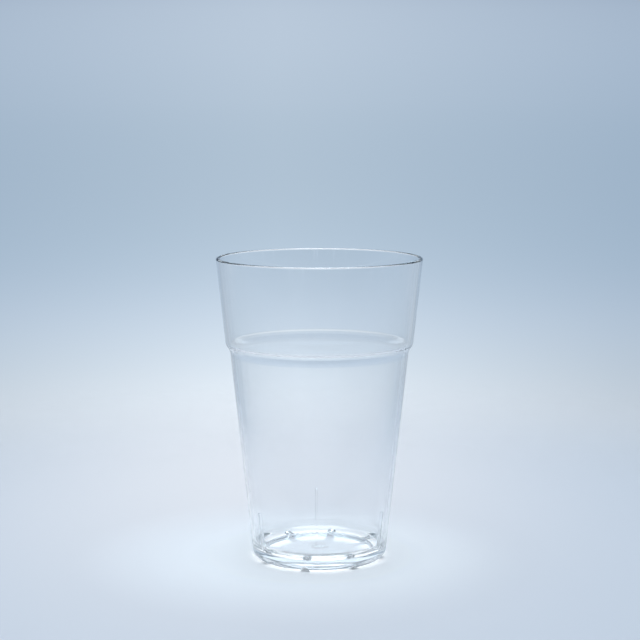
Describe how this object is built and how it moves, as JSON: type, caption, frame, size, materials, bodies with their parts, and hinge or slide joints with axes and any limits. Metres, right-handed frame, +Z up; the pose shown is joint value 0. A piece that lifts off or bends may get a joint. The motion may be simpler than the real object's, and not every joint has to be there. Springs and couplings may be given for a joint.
{
  "type": "plastic tumbler cup",
  "caption": "Clear stacking tumbler, moulded in one piece, with a stepped band below the lip, inner stacking ribs and a foot ring with drain notches.",
  "frame": {"origin": "on the table, in the middle of the foot ring", "axes": "+Z up along the cup's axis, -Y towards the front; the first stacking rib and the first drain notch lie 212.5 degrees from +X"},
  "size_m": [0.08, 0.08, 0.118],
  "materials": {
    "clear_plastic": "polished, clear, very faint blue-grey tint"
  },
  "bodies": {
    "root": {"tumbler": "clear_plastic"}
  },
  "joints": []
}
